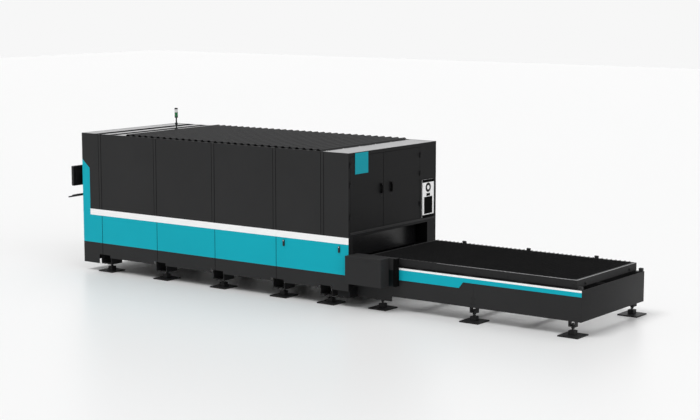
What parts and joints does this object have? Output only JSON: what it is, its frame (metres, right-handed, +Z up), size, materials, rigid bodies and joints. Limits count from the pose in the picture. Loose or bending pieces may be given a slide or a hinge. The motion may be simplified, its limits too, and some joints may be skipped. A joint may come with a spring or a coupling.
{
  "type": "fiber laser cutting machine",
  "caption": "Enclosed sheet-metal laser cutting machine: long dark cabin with teal band, folding roof cover, end cabinet doors, lifting gate and a sliding exchange table beside it.",
  "frame": {"origin": "on the floor under the middle of the whole machine's outer box", "axes": "+X along the machine from the operator's end to the exchange table, +Y from the near long side to the far one, +Z up"},
  "size_m": [9.295, 2.3026, 2.553],
  "materials": {
    "dark_paint": "fine-textured dark grey powder coat",
    "frame_paint": "matt black powder coat",
    "teal_paint": "smooth teal powder coat",
    "white_paint": "smooth white powder coat",
    "pale_paint": "light grey powder coat",
    "bellows_cloth": "coated bellows cloth, matt",
    "ground_steel": "ground",
    "raw_steel": "dark mill scale",
    "zinc_plate": "zinc plated",
    "black_metal": "black",
    "black_plastic": "moulded",
    "green_lens": "translucent lens",
    "clear_lens": "frosted lens",
    "laser_window": "amber protective pane"
  },
  "bodies": {
    "machine": {"bed": "frame_paint", "cabin_frame": "frame_paint", "linear_rails": "ground_steel", "plinth_near": "dark_paint", "plinth_far": "dark_paint", "end_frame": "dark_paint", "left_end_wall": "dark_paint", "teal_panel_1": "teal_paint", "teal_panel_2": "teal_paint", "teal_panel_3": "teal_paint", "teal_panel_4": "teal_paint", "teal_panel_5": "teal_paint", "upper_panel_1": "dark_paint", "upper_panel_2": "dark_paint", "upper_panel_3": "dark_paint", "upper_panel_4": "dark_paint", "upper_panel_5": "dark_paint", "upper_panel_6": "dark_paint", "stripe_near": "white_paint", "stripe_far": "white_paint", "teal_panels_far": "teal_paint", "upper_panels_far": "dark_paint", "roof_strips": "pale_paint", "roof_end_plate": "pale_paint", "roof_bellows": "bellows_cloth", "electrical_cabinet": "pale_paint", "switchgear_plate": "zinc_plate", "door_hinges": "black_metal", "cooling_unit": "white_paint", "tower_pole": "black_plastic", "tower_lens_green": "green_lens", "tower_lens_clear": "clear_lens", "foot_brackets": "black_metal", "levelling_feet": "black_metal", "base_frame": "dark_paint", "base_skirt": "teal_paint", "base_stripe": "white_paint", "drive_box": "dark_paint"},
    "roof_cover": {"roof_cover_bar": "frame_paint"},
    "door_left": {"door_left": "dark_paint", "badge_plate": "teal_paint"},
    "door_right": {"door_right": "dark_paint"},
    "handle_left": {"handle_left": "black_plastic"},
    "handle_right": {"handle_right": "black_plastic"},
    "gate": {"gate": "dark_paint"},
    "latch_1": {"latch_1": "black_plastic"},
    "latch_2": {"latch_2": "black_plastic"},
    "upper_table": {"upper_table_frame": "frame_paint", "upper_table_slats": "raw_steel"},
    "lower_table": {"lower_table_frame": "frame_paint", "lower_table_slats": "raw_steel"},
    "gantry": {"gantry_beam": "pale_paint"},
    "head_carriage": {"head_carriage": "zinc_plate"},
    "cutting_head": {"cutting_head": "black_metal"},
    "console": {"console_arm": "black_metal", "monitor": "black_plastic", "keyboard_tray": "black_metal"},
    "operator_door": {"operator_door": "dark_paint", "operator_window": "laser_window"}
  },
  "joints": [
    {"name": "upper_table_slide", "type": "slide", "parent": "machine", "child": "upper_table", "axis": [1, 0, 0], "range_m": [-3.8, 0]},
    {"name": "lower_table_slide", "type": "slide", "parent": "machine", "child": "lower_table", "axis": [1, 0, 0], "range_m": [0, 3.8]},
    {"name": "gate_lift", "type": "slide", "parent": "machine", "child": "gate", "axis": [0, 0, 1], "range_m": [0, 0.99]},
    {"name": "gantry_travel", "type": "slide", "parent": "machine", "child": "gantry", "axis": [1, 0, 0], "range_m": [0, 3.75]},
    {"name": "head_cross_travel", "type": "slide", "parent": "gantry", "child": "head_carriage", "axis": [0, 1, 0], "range_m": [0, 1.37]},
    {"name": "head_height", "type": "slide", "parent": "head_carriage", "child": "cutting_head", "axis": [0, 0, 1], "range_m": [-0.11, 0]},
    {"name": "door_left_hinge", "type": "hinge", "parent": "machine", "child": "door_left", "pos_m": [1.0555, -1.03025, 1.61], "axis": [0, 0, -1], "range_deg": [0, 110]},
    {"name": "door_right_hinge", "type": "hinge", "parent": "machine", "child": "door_right", "pos_m": [1.0555, 0.72175, 1.61], "axis": [0, 0, 1], "range_deg": [0, 100]},
    {"name": "handle_left_turn", "type": "hinge", "parent": "door_left", "child": "handle_left", "pos_m": [1.0515, -0.27825, 1.687], "axis": [1, 0, 0], "range_deg": [-90, 0]},
    {"name": "handle_right_turn", "type": "hinge", "parent": "door_right", "child": "handle_right", "pos_m": [1.0515, -0.02825, 1.687], "axis": [1, 0, 0], "range_deg": [0, 90]},
    {"name": "latch_1_turn", "type": "hinge", "parent": "machine", "child": "latch_1", "pos_m": [-0.1195, -1.06525, 0.857], "axis": [0, 1, 0], "range_deg": [0, 90]},
    {"name": "latch_2_turn", "type": "hinge", "parent": "machine", "child": "latch_2", "pos_m": [0.8855, -1.06525, 0.857], "axis": [0, 1, 0], "range_deg": [0, 90]},
    {"name": "roof_cover_slide", "type": "slide", "parent": "machine", "child": "roof_cover", "axis": [1, 0, 0], "range_m": [-2.9, 0], "deforming": ["roof_bellows"]},
    {"name": "console_swivel", "type": "hinge", "parent": "machine", "child": "console", "pos_m": [-4.2745, -0.77525, 1.4], "axis": [0, 0, 1], "range_deg": [-30, 30]},
    {"name": "operator_door_lift", "type": "slide", "parent": "machine", "child": "operator_door", "axis": [0, 0, 1], "range_m": [0, 0.8]}
  ],
  "couplings": [
    {"joint": "lower_table_slide", "follows": "upper_table_slide", "ratio": -1},
    {"joint": "gate_lift", "follows": "upper_table_slide", "ratio": -0.26}
  ]
}
